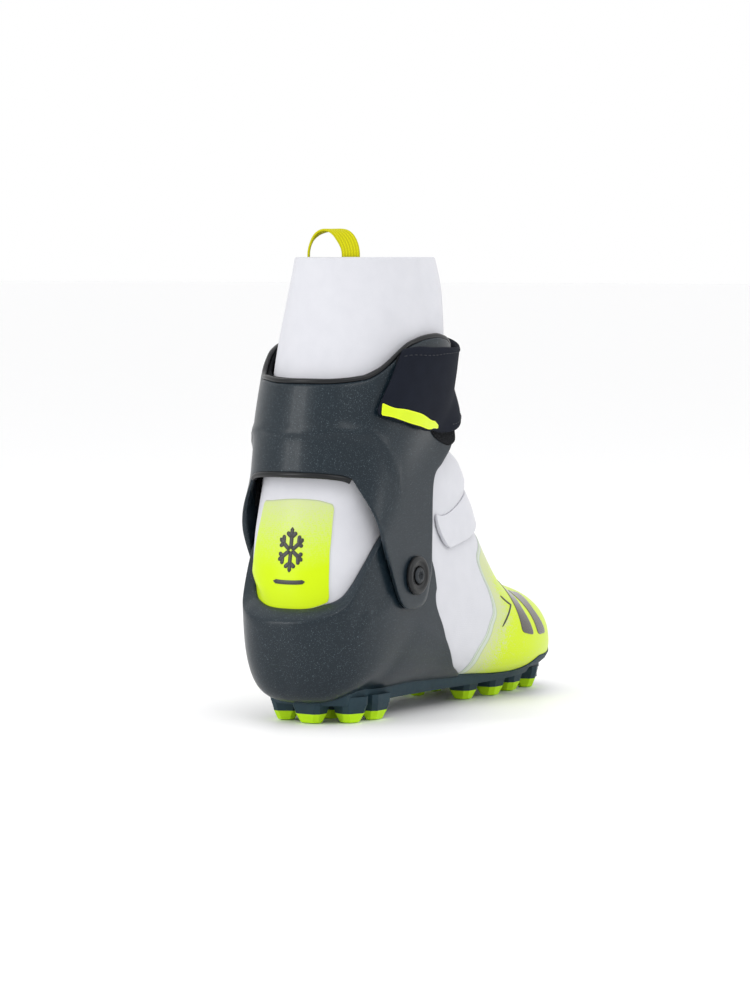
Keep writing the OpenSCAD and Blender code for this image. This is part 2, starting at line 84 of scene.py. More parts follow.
# Outlines on the loft: angle, lower section, upper section
CUFF = [
    [150, 11.5, 13.45], [155, 11.25, 13.75], [163, 11.2, 14.04], [171, 11.15, 14.2], [176, 10.3, 14.28],
    [181, 9.6, 14.33], [185, 9.48, 14.36], [190, 9.85, 14.38], [195, 10.2, 14.38], [202, 10.85, 14.36],
    [209, 11.38, 14.27], [219, 12.05, 14.13], [228, 12.5, 14.06], [236, 12.77, 14.06], [252, 12.93, 14.08],
    [270, 12.98, 14.1],
]
LINING = [
    [147, 11.3, 13.65], [158, 11.3, 14], [168, 12.1, 14.26], [178, 12.4, 14.38], [190, 12.45, 14.46],
    [203, 12.5, 14.43], [216, 12.52, 14.24], [232, 12.66, 14.14], [250, 12.82, 14.16], [270, 12.88, 14.18],
]
CHASSIS = [
    [176, 9.6, 10.9], [181, 8.93, 11.15], [186, 8.47, 11.3], [193, 8.2, 11.38], [200, 7.97, 11.4],
    [207, 7.8, 11.35], [216, 7.6, 11.2], [231, 7.2, 11], [248, 7.1, 11.02], [270, 7.1, 11.04],
]
FILM = [
    [233, 0.02, 7.17], [215, 0.02, 7.2], [197, 0.02, 7.2], [181, 0.02, 7.03], [172, 0.02, 6.93],
    [163, 0.02, 7.17], [154, 0.02, 7.75], [142, 0.02, 7.55], [128, 0.02, 7.3], [114, 0.02, 7.15],
    [90, 0.02, 7.1],
]
PATCH = [[242, 11.0, 12.36], [255, 11.0, 12.48], [270, 11.0, 12.52], [286, 10.98, 12.48], [307, 10.95, 12.36]]
COVER = [
    [166, 9.15, 10.35], [160, 8.8, 10], [151, 8.35, 9.55], [141, 8, 9.15], [125, 7.55, 8.65],
    [108, 7.35, 8.35], [90, 7.3, 8.25], [64, 7.35, 8.35],
]
STRAP = [
    [216, 13.55, 14.4], [203, 13.29, 14.35], [191, 12.99, 14.22], [177, 12.51, 14.04], [165, 12.04, 13.86],
    [148, 11.47, 13.58], [120, 10.9, 13.3], [90, 10.7, 13.2], [60, 10.9, 13.3], [38, 11.35, 13.6],
    [20, 11.8, 13.9],
]

PIVOT = (65, 78)
CHASSIS_X = 41.4
CUFF_T = 2.7
ARM_X = CHASSIS_X + 0.5
CAP_X = ARM_X + CUFF_T + 0.25
BUSH_R = 5.06
MEDIAL_DROP = 0.16
STRAP_T = 2.4


def about(rows, axis, drop=0.0):
    """The rows and their mirror image about an angle; the image's top is drop lower on the medial side."""
    mirrored = [(2 * axis - a, lo, hi) for a, lo, hi in reversed(rows[:-1])]
    return rows + [[a, lo, hi - drop * ramp(a, 300, 335)] for a, lo, hi in mirrored]


def edge_at(rows, a, column):
    """Lower (1) or upper (2) section of an outline at an angle."""
    line = row_at(rows, np.linspace(0, len(rows) - 1, 20 * len(rows)))
    order = np.argsort(line[:, 0])
    return np.interp(a, line[order, 0], line[order, column])


def ramp(x, low, high):
    t = np.clip((x - low) / (high - low), 0, 1)
    return t * t * (3 - 2 * t)


def mix(a, b, t):
    return a + (b - a) * t


def bell(x, middle, width):
    return np.exp(-(((x - middle) / width) ** 2))


def rear(a):
    """How far an angle lies towards the back or bottom, 0 at the sides to 1 at 270."""
    return np.maximum(0, -np.sin(np.radians(a))) ** 1.5


def front(a):
    return np.maximum(0, np.sin(np.radians(a)))


def row_at(table, x):
    """Row x of a table, on a smooth curve through its rows."""
    table = np.asarray(table, float)
    x = np.clip(x, 0, len(table) - 1)
    i = np.floor(x).astype(int)
    t = (x - i)[..., None]
    a, b, c, d = (table[np.clip(i + k, 0, len(table) - 1)] for k in (-1, 0, 1, 2))
    return b + 0.5 * t * (c - a + t * (2 * a - 5 * b + 4 * c - d + t * (3 * (b - c) + d - a)))


def last(s, a, off=0.0):
    """Points of the loft at sections s and angles a, moved outwards by off millimetres."""
    s, a, off = np.broadcast_arrays(np.asarray(s, float), np.radians(a), off)
    q = row_at(LAST, s)
    back, face = q[..., 0:2], q[..., 2:4]
    sin, cos = np.sin(a), np.cos(a)
    up = sin >= 0
    n = np.where(up, q[..., 8], q[..., 7])
    length = np.maximum(np.linalg.norm(face - back, axis=-1), 1)
    reach = np.where(up, 1 - q[..., 6], q[..., 6]) + off / length
    h = q[..., 6] + np.where(up, 1, -1) * reach * np.abs(sin) ** (2 / n)
    p = back + (face - back) * h[..., None]
    x = q[..., 5] + (q[..., 4] + off) * np.sign(cos) * np.abs(cos) ** (2 / n)
    return np.stack([x, p[..., 0], p[..., 1]], -1) * MM


def cuff_off(s, a):
    """Distance of the cuff's outer face from the loft."""
    return mix(mix(5.6, 5.4, ramp(s, 10, 13)), 10.5 - 2.4 * ramp(s, 13.2, 14.2), rear(a))


# ---- Meshes ----


def add_object(name, verts, faces, material, layers=None, smooth=True):
    """A mesh object with outward normals; layers are named values of each vertex for its material."""
    mesh = bpy.data.meshes.new(name)
    mesh.from_pydata(np.asarray(verts, float).tolist(), [], [list(map(int, f)) for f in faces])
    for key, values in (layers or {}).items():
        values = np.asarray(values, np.float32)
        kind = "FLOAT_VECTOR" if values.ndim == 2 else "FLOAT"
        field = "vector" if values.ndim == 2 else "value"
        mesh.attributes.new(key, kind, "POINT").data.foreach_set(field, values.reshape(-1))
    bm = bmesh.new()
    bm.from_mesh(mesh)
    bmesh.ops.remove_doubles(bm, verts=bm.verts, dist=1e-7)
    bmesh.ops.recalc_face_normals(bm, faces=bm.faces)
    bm.to_mesh(mesh)
    bm.free()
    mesh.polygons.foreach_set("use_smooth", [smooth] * len(mesh.polygons))
    obj = bpy.data.objects.new(name, mesh)
    bpy.context.scene.collection.objects.link(obj)
    mesh.materials.append(material)
    return obj


def quads(ids):
    return np.stack([ids[:-1, :-1], ids[1:, :-1], ids[1:, 1:], ids[:-1, 1:]], -1).reshape(-1, 4)


def path_length(points, axis):
    """Millimetres along a grid of points in one direction, from its start."""
    step = np.linalg.norm(np.diff(points, axis=axis), axis=-1) / MM
    start = np.zeros_like(np.take(step, [0], axis=axis))
    return np.concatenate([start, np.cumsum(step, axis=axis)], axis=axis)


def stations(n, length, edge):
    """Shares of each length, close together inside the rounded edge at both ends and even between."""
    length = np.maximum(np.atleast_1d(length).astype(float), 1e-6)
    share = np.minimum(edge / length, 0.4)
    near = np.array([0, 0.03, 0.12, 0.3, 0.6])[:, None] * share
    even = np.linspace(0, 1, n + 1)[:, None] * (1 - 2 * share) + share
    return np.concatenate([near, even, 1 - near[::-1]])


def plate(
    name, rows, inner, outer, material,
    steps=24, per_row=8, edge=1.0, corner=0.0, slant=(0, 0), shape=None, layers=None,
):
    """Closed plate on the loft inside an outline. Its rim is rounded over edge and its corners by corner.

    slant is how many degrees the plate's first and last edges lean, lower end forwards along the angle.
    """
    last_row = len(rows) - 1
    line = row_at(rows, np.linspace(0, last_row, 60))
    span = path_length(last((line[:, 1] + line[:, 2]) / 2, line[:, 0], 2.0), 0)[-1]
    v = stations(per_row * last_row, span, edge)[:, 0]
    if corner:
        turn = (1 - np.cos(np.radians(np.arange(10, 91, 10)))) * corner / span
        v = np.unique(np.concatenate([v, turn, 1 - turn]))
    r = row_at(rows, v * last_row)
    a, lo, hi = r.T
    width = np.linalg.norm(last(hi, a, 2.0) - last(lo, a, 2.0), axis=-1) / MM
    if corner:
        from_end = np.minimum(v, 1 - v) * span
        cut = corner - np.sqrt(np.maximum(corner**2 - np.maximum(corner - from_end, 0) ** 2, 0))
        inset = np.minimum(cut / width, 0.42) * (hi - lo)
        lo, hi = lo + inset, hi - inset
    u = stations(steps, width, edge)
    s = lo + (hi - lo) * u
    a = a + (0.5 - u) * (slant[0] * (1 - v) ** 2 + slant[1] * v**2)
    low, high = inner(s, a), outer(s, a)
    middle = last(s, a, (low + high) / 2)
    du, dv = path_length(middle, 0), path_length(middle, 1)
    rim = np.minimum(np.minimum(du, du[-1:] - du), np.minimum(dv, dv[:, -1:] - dv))
    full = np.sqrt(1 - (1 - np.clip(rim / edge, 0, 1)) ** 2)
    sides = []
    for sign in (1, -1):
        share = (1 + sign * full) / 2
        p = last(s, a, low + (high - low) * share)
        sides.append(shape(p, s, a, share) if shape else p)
    values = {"weave": np.stack([du, dv, np.zeros_like(du)], -1), "rim": rim}
    for key, f in (layers or {}).items():
        values[key] = f(s, a)
    return sandwich(name, sides[0], sides[1], material, values)


def level(off):
    """A face of a plate at a constant distance from the loft."""
    return lambda s, a: np.full_like(s, off)


def raised(face, off):
    """A face of a plate off millimetres outside another one."""
    return lambda s, a: face(s, a) + off


def sandwich(name, outer, inner, material, values):
    """Closed plate from two grids of points that meet all round."""
    shape = outer.shape[:2]
    border = np.zeros(shape, bool)
    border[[0, -1]] = border[:, [0, -1]] = True
    ids_out = np.arange(border.size).reshape(shape)
    ids_in = ids_out.copy()
    ids_in[~border] = border.size + np.arange((~border).sum())
    verts = np.concatenate([outer.reshape(-1, 3), inner[~border]])
    layers = {k: np.concatenate([w.reshape(border.size, *w.shape[2:]), w[~border]]) for k, w in values.items()}
    return add_object(name, verts, np.concatenate([quads(ids_out), quads(ids_in)[:, ::-1]]), material, layers)


def layered(loops):
    """Closed solid from loops of points of equal count, capped at both ends."""
    n, m = len(loops), len(loops[0])
    ids = np.arange(n * m).reshape(n, m)
    faces = [list(f) for f in quads(np.concatenate([ids, ids[:, :1]], 1))]
    return np.concatenate(loops), faces + [list(ids[0])[::-1], list(ids[-1])]


def joined(name, solids, material, smooth=False):
    """One object from several separate solids."""
    verts, faces, base = [], [], 0
    for v, f in solids:
        verts.append(v)
        faces += [[i + base for i in face] for face in f]
        base += len(v)
    return add_object(name, np.concatenate(verts), faces, material, smooth=smooth)


def piece(obj, body, slot, *nodes):
    """Puts an object on a body, in place of the CAD nodes named; slot is not used."""
    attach(obj, body)
    if nodes:
        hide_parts(*nodes)
    return obj


def rings_along(path, profile, sides, ups, widths=1.0):
    """Loops of a profile of (side, up) pairs at each point of a path; widths scales the side."""
    widths = np.broadcast_to(widths, len(path))[:, None, None]
    return path[:, None] + profile[None, :, :1] * sides[:, None] * widths + profile[None, :, 1:] * ups[:, None]


def sweep(name, path, profile, sides, ups, material):
    """A profile in millimetres carried along a path, with its thread direction stored for the material."""
    along = np.repeat(path_length(path, 0), len(profile))
    across = np.tile(profile[:, 0], len(path))
    values = {"weave": np.stack([along, across, np.zeros_like(along)], -1), "rim": np.ones_like(along)}
    return add_object(name, *layered(rings_along(path, profile * MM, sides, ups)), material, values)


def unit(v):
    return v / np.linalg.norm(v, axis=-1, keepdims=True)


def axes_along(path, up):
    """Side and up vectors square to a path, with up as near as can be to the given vectors."""
    tangent = unit(np.gradient(path, axis=0))
    side = unit(np.cross(tangent, np.broadcast_to(up, path.shape)))
    return side, np.cross(side, tangent)


def circle(r, n=12):
    t = np.linspace(0, 2 * math.pi, n, endpoint=False)
    return np.stack([np.cos(t), np.sin(t)], -1) * r


def rounded_bar(width, height, r, n=5):
    """Outline of a bar with rounded corners, centred."""
    corners = [(1, 1, 0), (-1, 1, 90), (-1, -1, 180), (1, -1, 270)]
    out = []
    for cx, cy, start in corners:
        for t in np.radians(np.linspace(start, start + 90, n)):
            out.append([cx * (width / 2 - r) + r * math.cos(t), cy * (height / 2 - r) + r * math.sin(t)])
    return np.array(out)


def tube(name, points, r, material):
    """Round piping along a polyline, with a ring about every 1.2 mm."""
    at = path_length(points, 0)
    t = np.linspace(0, at[-1], max(2, int(round(at[-1] / 1.2)) + 1))
    points = np.stack([np.interp(t, at, points[:, k]) for k in range(3)], -1)
    side, up = axes_along(points, (0, 0, 1))
    return sweep(name, points, circle(r), side, up, material)


# Share of a stitch's length, its thickness there and its lift, as shares of the thread's radius
STITCH = [(0, 0.25, -0.6), (0.12, 0.85, 0), (0.5, 1, 0.35), (0.88, 0.85, 0), (1, 0.25, -0.6)]


def stitches(name, points, normals, material, length=2.3, gap=1.3, r=0.28):
    """A row of thread stitches along a line, sunk a little into the piece."""
    at = path_length(points, 0)
    ring = circle(1, 6)

    def along(values, t):
        return np.array([np.interp(t, at, values[:, k]) for k in range(3)])

    solids = []
    for start in np.arange(gap, at[-1] - length, length + gap):
        rings = []
        for share, size, lift in STITCH:
            t = start + share * length
            p, n = along(points, t), along(normals, t)
            side = unit(np.cross(along(points, t + 0.3) - p, n))
            rings.append(p + r * MM * (ring[:, :1] * size * side + (ring[:, 1:] * size + lift) * n))
        solids.append(layered(rings))
    return joined(name, solids, material, smooth=True)


def loft_line(s, a, off):
    """Points on the loft and their outward normals, for lines of stitches and piping."""
    s, a = np.broadcast_arrays(np.asarray(s, float), np.asarray(a, float))
    p = last(s, a, off)
    n = unit(np.cross(last(s + 0.01, a, off) - p, last(s, a + 0.2, off) - p))
    return p, n * np.sign(((last(s, a, np.asarray(off) + 1) - p) * n).sum(-1, keepdims=True))


# ---- Materials ----


def srgb(r, g, b):
    """Linear colour from 0-255 display values."""
    c = np.array([r, g, b]) / 255
    return (*np.where(c <= 0.04045, c / 12.92, ((c + 0.055) / 1.055) ** 2.4), 1.0)


class Look:
    """A procedural material. Its patterns are built from the calls below."""

    def __init__(self, name, color, roughness, shine=0.5, **constants):
        self.material = bpy.data.materials.new(name)
        self.material.use_nodes = True
        self.tree = self.material.node_tree
        self.shader = self.tree.nodes["Principled BSDF"]
        self.shader.inputs["Base Color"].default_value = color
        self.shader.inputs["Roughness"].default_value = roughness
        self.shader.inputs["Specular IOR Level"].default_value = shine
        for key, value in constants.items():
            self.shader.inputs[key.replace("_", " ")].default_value = value

    def node(self, kind, inputs=None, **settings):
        n = self.tree.nodes.new("ShaderNode" + kind)
        for key, value in settings.items():
            setattr(n, key, value)
        for key, value in (inputs or {}).items():
            self.feed(n.inputs[key], value)
        return n

    def feed(self, socket, value):
        if isinstance(value, bpy.types.NodeSocket):
            self.tree.links.new(value, socket)
        else:
            socket.default_value = value

    def space(self):
        """Place in the row frame, in millimetres."""
        return self.scaled(self.node("TexCoord").outputs["Object"], (1000, 1000, 1000))

    def layer(self, name):
        found = self.node("Attribute", attribute_name=name)
        return found.outputs["Vector" if name == "weave" else "Fac"]

    def scaled(self, vector, size):
        return self.node("VectorMath", {0: vector, 1: size}, operation="MULTIPLY").outputs[0]

    def math(self, operation, a, b=0.0):
        return self.node("Math", {0: a, 1: b}, operation=operation).outputs[0]

    def times(self, a, b):
        return self.math("MULTIPLY", a, b)

    def minus(self, a, b):
        return self.math("SUBTRACT", a, b)

    def noise(self, vector, period, detail=2.0, rough=0.5):
        inputs = {"Vector": vector, "Scale": 1 / period, "Detail": detail, "Roughness": rough}
        return self.node("TexNoise", inputs).outputs["Fac"]

    def cells(self, vector, period, even=0.0):
        inputs = {"Vector": vector, "Scale": 1 / period, "Randomness": 1 - even}
        return self.node("TexVoronoi", inputs).outputs["Distance"]

    def stripes(self, vector, period, direction="X"):
        inputs = {"Vector": vector, "Scale": math.pi / 10 / period, "Distortion": 0.0, "Detail": 0.0}
        return self.node("TexWave", inputs, bands_direction=direction).outputs["Fac"]

    def step(self, value, low, high):
        """0 below low, 1 above high."""
        inputs = {"Value": value, "From Min": low, "From Max": high, "To Min": 0.0, "To Max": 1.0}
        return self.node("MapRange", inputs, clamp=True).outputs["Result"]

    def between(self, value, low, high, soft):
        rise = self.step(value, low - soft, low + soft)
        return self.times(rise, self.minus(1.0, self.step(value, high - soft, high + soft)))

    def blend(self, share, a, b):
        n = self.node("Mix", data_type="RGBA")
        self.feed(n.inputs[0], share)
        self.feed(n.inputs[6], a)
        self.feed(n.inputs[7], b)
        return n.outputs[2]

    def color(self, value):
        self.feed(self.shader.inputs["Base Color"], value)

    def rough(self, value, low, high):
        inputs = {"Value": value, "To Min": low, "To Max": high}
        self.feed(self.shader.inputs["Roughness"], self.node("MapRange", inputs).outputs["Result"])

    def bump(self, height, depth, strength=1.0):
        """Adds relief of depth millimetres; calls build on each other."""
        inputs = {"Height": height, "Distance": depth * MM, "Strength": strength}
        n = self.node("Bump", inputs)
        normal = self.shader.inputs["Normal"]
        if normal.is_linked:
            self.tree.links.new(normal.links[0].from_socket, n.inputs["Normal"])
        self.tree.links.new(n.outputs["Normal"], normal)


def fabric(name, color, shade, period, roughness=0.85, depth=0.12, sheen=0.15, **constants):
    """Knitted or woven cloth: two crossed ribs, a soft mottle and fine fuzz."""
    look = Look(name, color, roughness, Sheen_Weight=sheen, Sheen_Roughness=0.5, **constants)
    weave, space = look.layer("weave"), look.space()
    ribs = look.times(look.stripes(weave, period, "X"), look.stripes(weave, period * 1.15, "Y"))
    mottle = look.noise(space, 9.0, 3.0)
    look.color(look.blend(look.times(look.math("ADD", ribs, mottle), 0.5), shade, color))
    look.bump(ribs, depth, 0.8)
    look.bump(look.noise(space, period * 0.7, 2.0), depth * 0.7, 0.35)
    return look


def moulded(name, color, roughness, sparkle=0.0, **constants):
    """Moulded plastic: fine grain, faint cloudiness, and a painted highlight that makes the edges a little
    lighter.
    """
    look = Look(name, color, roughness, **constants)
    space = look.space()
    cloud = look.noise(space, 22.0, 4.0)
    lighter = tuple(min(1.0, c * 1.5 + 0.012) for c in color[:3]) + (1.0,)
    base = look.blend(look.step(cloud, 0.35, 0.75), color, tuple(c * 1.12 for c in color[:3]) + (1.0,))
    # Painted highlight: lighter colour within about a millimetre of a plate's rim, and all over a piece that
    # has no rim layer
    painted_edge_highlight = look.times(look.minus(1.0, look.step(look.layer("rim"), 0.1, 0.9)), 0.55)
    base = look.blend(painted_edge_highlight, base, lighter)
    if sparkle:
        specks = look.math("GREATER_THAN", look.noise(space, 0.36, 1.0, 0.4), 0.7)
        base = look.blend(look.times(specks, sparkle), base, srgb(146, 164, 172))
    look.color(base)
    look.rough(look.noise(space, 14.0, 4.0), roughness * 0.82, roughness * 1.2)
    look.bump(look.noise(space, 0.5, 2.0), 0.05, 0.35)
    look.bump(look.noise(space, 9.0, 1.0), 0.2, 0.06)
    return look


LIME = srgb(192, 219, 0)


def softshell_look():
    look = fabric("softshell", srgb(212, 212, 217), srgb(194, 195, 201), 0.55, 0.8, 0.05, 0.1)
    look.bump(look.noise(look.space(), 38.0, 2.0), 1.2, 0.25)
    return look


def halftone(look, amount, period):
    """Fine dots that grow until they fill the surface as amount goes from 0 to 1."""
    dots = look.cells(look.space(), period, even=0.35)
    return look.step(look.minus(look.times(amount, 0.85), dots), -0.16, 0.16)


def film_look():
    """Lime film with a pale stripe along its upper edge and a halftone fade between them."""
    look = Look("toe_film", LIME, 0.3, shine=0.25)
    top = look.layer("top")
    lime = look.blend(look.noise(look.space(), 30.0, 2.0), srgb(190, 213, 0), srgb(200, 223, 0))
    amount = look.minus(look.step(top, -4.0, 21.0), look.times(look.layer("lift"), 0.35))
    faded = look.blend(halftone(look, amount, 0.8), srgb(192, 200, 150), lime)
    faded = look.blend(look.step(top, 2.6, 3.0), srgb(190, 199, 188), faded)
    line = look.math("ADD", look.between(top, 0.45, 0.75, 0.08), look.between(top, 2.6, 2.9, 0.08))
    look.color(look.blend(line, faded, srgb(158, 172, 128)))
    look.bump(look.noise(look.space(), 0.7, 2.0), 0.03, 0.3)
    look.rough(look.noise(look.space(), 18.0, 3.0), 0.24, 0.38)
    return look


def patch_look():
    """Heel patch: lime below, fading through a halftone to a pale top."""
    look = Look("heel_patch", LIME, 0.32, shine=0.2)
    share = look.layer("climb")
    pale = srgb(192, 203, 142)
    base = look.blend(look.step(share, 0.35, 0.95), LIME, pale)
    dots = halftone(look, look.minus(1.2, share), 1.1)
    base = look.blend(look.times(dots, 0.6), base, LIME)
    look.color(look.blend(look.step(look.layer("rim"), 0.4, 0.6), srgb(186, 197, 150), base))
    look.bump(look.noise(look.space(), 0.6, 2.0), 0.03, 0.3)
    return look


def rubber_look(name, color, shade):
    look = Look(name, color, 0.62, shine=0.3)
    space = look.space()
    look.color(look.blend(look.noise(space, 7.0, 4.0), shade, color))
    look.bump(look.noise(space, 0.8, 3.0), 0.12, 0.4)
    look.rough(look.noise(space, 3.0, 4.0), 0.5, 0.75)
    return look


def steel_look(name, color, roughness=0.32):
    look = Look(name, color, roughness, Metallic=1.0)
    brushed = look.noise(look.scaled(look.space(), (0.15, 1, 1)), 0.25, 3.0)
    look.rough(brushed, roughness * 0.75, roughness * 1.4)
    look.bump(brushed, 0.02, 0.4)
    return look


def webbing_look(name, color, shade, period=1.1, **constants):
    """Woven tape: diagonal ribs across its length."""
    look = Look(name, color, 0.78, **constants)
    weave = look.layer("weave")
    ribs = look.stripes(weave, period, "Y")
    cross = look.stripes(weave, period * 0.5, "DIAGONAL")
    both = look.times(ribs, look.math("ADD", 0.5, look.times(cross, 0.5)))
    look.color(look.blend(both, shade, color))
    look.bump(both, 0.16, 0.9)
    return look


def fuzz_look(name, color, shade):
    """Hook and loop fabric: dense small tufts."""
    look = Look(name, color, 0.9, shine=0.1)
    tufts = look.cells(look.space(), 0.85)
    look.color(look.blend(tufts, color, shade))
    look.bump(look.minus(1.0, tufts), 0.6, 1.0)
    look.bump(look.noise(look.space(), 0.3, 2.0), 0.2, 0.6)
    return look


LOOKS = {
    "softshell": softshell_look(),
    "film": film_look(),
    "patch": patch_look(),
    "shell": moulded("shell", srgb(17, 29, 37), 0.31, 0.4, shine=0.3),
    "lining": fabric("lining", srgb(24, 26, 30), srgb(12, 13, 15), 1.3, 0.9, 0.3, 0.0, shine=0.1),
    "mesh_pad": fabric("mesh_pad", srgb(34, 36, 39), srgb(8, 8, 9), 1.9, 0.85, 0.7, 0.0, shine=0.2),
    "piping": moulded("piping", srgb(12, 14, 17), 0.3, shine=0.3),
    "webbing": fabric("webbing", srgb(32, 36, 47), srgb(18, 21, 29), 0.7, 0.85, 0.08, 0.0, shine=0.1),
    "trim": moulded("trim", srgb(198, 220, 0), 0.35, shine=0.35),
    "loop_tape": webbing_look("loop_tape", srgb(206, 204, 6), srgb(172, 168, 2), 1.5, shine=0.2),
    "fuzz": fuzz_look("hook_and_loop", srgb(14, 15, 17), srgb(36, 38, 41)),
    "rubber": rubber_look("rubber", srgb(34, 58, 68), srgb(26, 46, 55)),
    "tip": rubber_look("lug_tip", srgb(190, 232, 10), srgb(170, 216, 4)),
    "nylon": moulded("nylon", srgb(24, 42, 50), 0.5),
    "steel": steel_look("steel", srgb(196, 199, 202)),
    "dark_steel": steel_look("dark_steel", srgb(60, 63, 66), 0.45),
    "brass": steel_look("brass", srgb(205, 178, 110), 0.3),
    "cap": moulded("cap", srgb(10, 12, 14), 0.4, shine=0.3),
    "board": moulded("board", srgb(62, 66, 70), 0.6),
    "foam": fabric("foam", srgb(150, 155, 158), srgb(122, 127, 130), 1.6, 0.92, 0.3, 0.1),
    "tongue": fabric("tongue", srgb(206, 206, 211), srgb(184, 185, 191), 1.0, 0.9, 0.2, 0.1),
    "cord": webbing_look("cord", srgb(26, 27, 30), srgb(10, 10, 12), 0.8),
    "decor": moulded("decor", srgb(58, 52, 42), 0.22, Coat_Weight=0.4),
    "decor_line": moulded("decor_line", srgb(28, 28, 26), 0.35),
    "dark_thread": webbing_look("dark_thread", srgb(52, 58, 68), srgb(34, 38, 46), 0.5),
}
MAT = {key: look.material for key, look in LOOKS.items()}

# ---- Softshell ----

SOFT_T = 2.2
# Sections and angles of the hole under the lace cover, which lies along the field's own slanted direction
HATCH_S, HATCH_A = (7.42, 8.06), (77, 103)


def softshell_puff(s, a):
    """Folds and soft waves of the softshell, in millimetres outwards, away from the toe film and shells."""
    instep = front(a) ** 0.6
    above_flap = s - edge_at(COVER, np.clip(a, 66, 168), 2)
    beside_flap = ramp(a, 60, 92) * ramp(-a, -172, -152)
    bulge = 2.2 * ramp(above_flap, -0.04, 0.06) + 2.0 * ramp(above_flap, 0.0, 0.4)
    bulge = bulge * ramp(-above_flap, -1.8, -0.8)
    ankle = 0.6 * np.sin((s - 10) * 6.5 + 0.6 * np.sin(np.radians(2 * a)))
    ankle = ankle * ramp(s, 10.2, 10.7) * ramp(-s, -12, -11)
    soft = 0.35 * np.sin(1.9 * s + 3.1 * np.sin(np.radians(a))) * ramp(s, 8.2, 9.2)
    leg = ramp(s, 14.3, 15)
    waves = leg * (0.45 * np.sin(np.radians(5 * a) + 0.9 * s) + 0.3 * np.sin(np.radians(9 * a) - 1.7 * s))
    heel = 2.6 * bell(a, 314, 24) * ramp(s, 11.02, 11.3) * ramp(-s, -12.6, -11.6)
    return beside_flap * bulge + instep * (ankle + soft) + waves + heel


def softshell():
    """Upper, ankle and gaiter as one skin with a folded rim and a way in to the lace lock."""
    rim_steps = TOP_S - np.array([0.001, 0.004, 0.012, 0.03, 0.06])
    s = np.unique(np.concatenate([
        np.linspace(0.95, 7, 42), np.linspace(7, TOP_S, 118), np.linspace(8.3, 10.6, 80), HATCH_S, rim_steps,
    ]))
    t = np.linspace(0, 360, 145)[:-1]
    a = t - np.degrees(0.55 * np.sin(np.radians(4 * t)) / 4)
    for edge in HATCH_A:
        a[np.argmin(np.abs(a - edge))] = edge
    S, A = np.meshgrid(s, a, indexing="ij")
    puff = softshell_puff(S, A)
    rim = path_length(last(S, A, puff), 0)
    rim = rim[-1:] - rim
    full = np.sqrt(1 - (1 - np.clip(rim / (SOFT_T / 2), 0, 1)) ** 2)
    middle = puff - SOFT_T / 2
    outer = last(S, A, middle + SOFT_T / 2 * full)
    inner = last(S, A, middle - SOFT_T / 2 * full)
    ids_out = np.arange(S.size).reshape(S.shape)
    ids_in = ids_out + S.size
    ids_in[-1] = ids_out[-1]
    i0, i1 = (int(np.argmin(np.abs(s - v))) for v in HATCH_S)
    j0, j1 = (int(np.argmin(np.abs(a - v))) for v in HATCH_A)
    keep = np.ones((len(s) - 1, len(a)), bool)
    keep[i0:i1, j0:j1] = False
    faces = []
    for ids in (ids_out, ids_in):
        faces += [list(f) for f in quads(np.concatenate([ids, ids[:, :1]], 1))[keep.reshape(-1)]]
    loop = [(i, j0) for i in range(i0, i1)] + [(i1, j) for j in range(j0, j1)]
    loop += [(i, j1) for i in range(i1, i0, -1)] + [(i0, j) for j in range(j1, j0, -1)]
    for p, q in zip(loop, loop[1:] + loop[:1]):
        faces.append([ids_out[p], ids_out[q], ids_in[q], ids_in[p]])
    faces += [list(ids_out[0]), list(ids_in[0])]
    weave = np.stack([path_length(outer, 0), path_length(outer, 1), np.zeros(S.shape)], -1).reshape(-1, 3)
    layers = {"weave": np.tile(weave, (2, 1)), "rim": np.tile(rim.reshape(-1), 2)}
    verts = np.concatenate([outer.reshape(-1, 3), inner.reshape(-1, 3)])
    obj = add_object("softshell", verts, faces, MAT["softshell"], layers)
    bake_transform(obj)
    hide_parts("upper", "ankle_gusset", "gaiter", "rim_binding")


def toe_film():
    def below_edge(s, a):
        """Millimetres below the film's upper edge."""
        return (edge_at(FILM, np.where(a < 90, 180 - a, a), 2) - s) * 19.0

    def instep(s, a):
        return ramp(s, 4.6, 7.2) * ramp(front(a), 0.0, 0.35)

    obj = plate(
        "toe_film_skin", about(FILM, 90), level(-0.3), level(0.55), MAT["film"],
        steps=72, per_row=8, edge=0.5, layers={"top": below_edge, "lift": instep},
    )
    piece(obj, "boot", "film", "toe_film")


def ribbon(s, a, off, profile, taper):
    """Solid of an outline carried along a line on the loft, its width scaled by taper."""
    p, n = loft_line(s, a, off)
    side, up = axes_along(p, n)
    return layered(rings_along(p, profile * MM, side, up, taper(p)))


def toe_decor():
    """Plain dark bands and a thin bent line on the film, in place of printed marks."""
    def pointed(p):
        t = np.linspace(0, 1, len(p))
        return np.clip(np.minimum(t, 1 - t) * 12, 0.12, 1) ** 0.5

    bend = np.array([[6.52, 159], [5.9, 157.5], [6.5, 178]])
    t = np.linspace(0, 2, 49)
    s, a = (np.interp(t, range(3), bend[:, k]) for k in (0, 1))
    verts, faces = ribbon(s, a, 0.6, rounded_bar(1, 1, 0.3) * (1.2, 0.5), pointed)
    piece(add_object("film_line", verts, faces, MAT["decor_line"]), "boot", "film")
    for k, (start, length) in enumerate(((5.15, 1.15), (4.35, 1.0))):
        rows = [
            [a, start - 0.0084 * abs(a - 150), start + length * 0.45 - 0.004 * (a - 150)]
            for a in range(128, 177, 12)
        ]
        obj = plate(
            f"film_band_{k}", rows, level(0.3), level(0.85), MAT["decor"],
            steps=14, per_row=6, edge=0.3, corner=3.5,
        )
        piece(obj, "boot", "film")


def heel_patch():
    obj = plate(
        "heel_patch_skin", PATCH, raised(softshell_puff, -0.3), raised(softshell_puff, 0.6), MAT["patch"],
        steps=40, per_row=14, edge=0.5, corner=3.5, slant=(0, 11),
        layers={"climb": lambda s, a: (s - 11) / 1.5},
    )
    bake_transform(obj)
    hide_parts("heel_patch")


